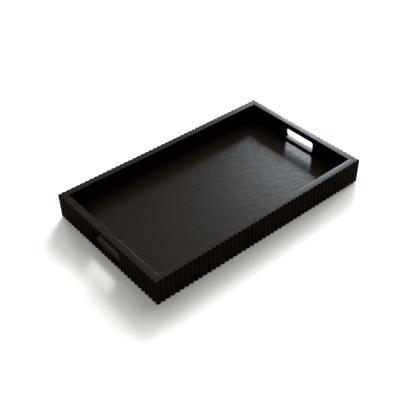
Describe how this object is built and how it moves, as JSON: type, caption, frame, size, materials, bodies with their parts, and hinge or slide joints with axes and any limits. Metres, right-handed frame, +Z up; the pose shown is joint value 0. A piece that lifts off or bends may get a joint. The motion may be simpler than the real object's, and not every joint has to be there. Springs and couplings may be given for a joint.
{
  "type": "serving tray",
  "caption": "Rectangular wooden serving tray with low mitred walls milled in upright reeds outside, a flat base panel, and a rectangular hand slot through each end wall.",
  "frame": {"origin": "middle of the footprint, on the surface that the felt discs stand on", "axes": "+X along the tray towards the right end wall, +Y across it towards the back wall, +Z up"},
  "size_m": [0.508, 0.305, 0.0555],
  "materials": {
    "espresso_board": "satin lacquer over near-black espresso stain",
    "espresso_panel": "semi-gloss lacquer over near-black espresso stain",
    "beech_tenon": "bare planed beech",
    "felt": "charcoal felt"
  },
  "bodies": {
    "root": {"front_wall": "espresso_board", "back_wall": "espresso_board", "left_end_wall": "espresso_board", "right_end_wall": "espresso_board", "base_panel": "espresso_panel", "corner_tenon_front_left": "beech_tenon", "corner_tenon_front_right": "beech_tenon", "corner_tenon_back_left": "beech_tenon", "corner_tenon_back_right": "beech_tenon", "felt_disc_front_left": "felt", "felt_disc_front_right": "felt", "felt_disc_back_left": "felt", "felt_disc_back_right": "felt"}
  },
  "joints": []
}
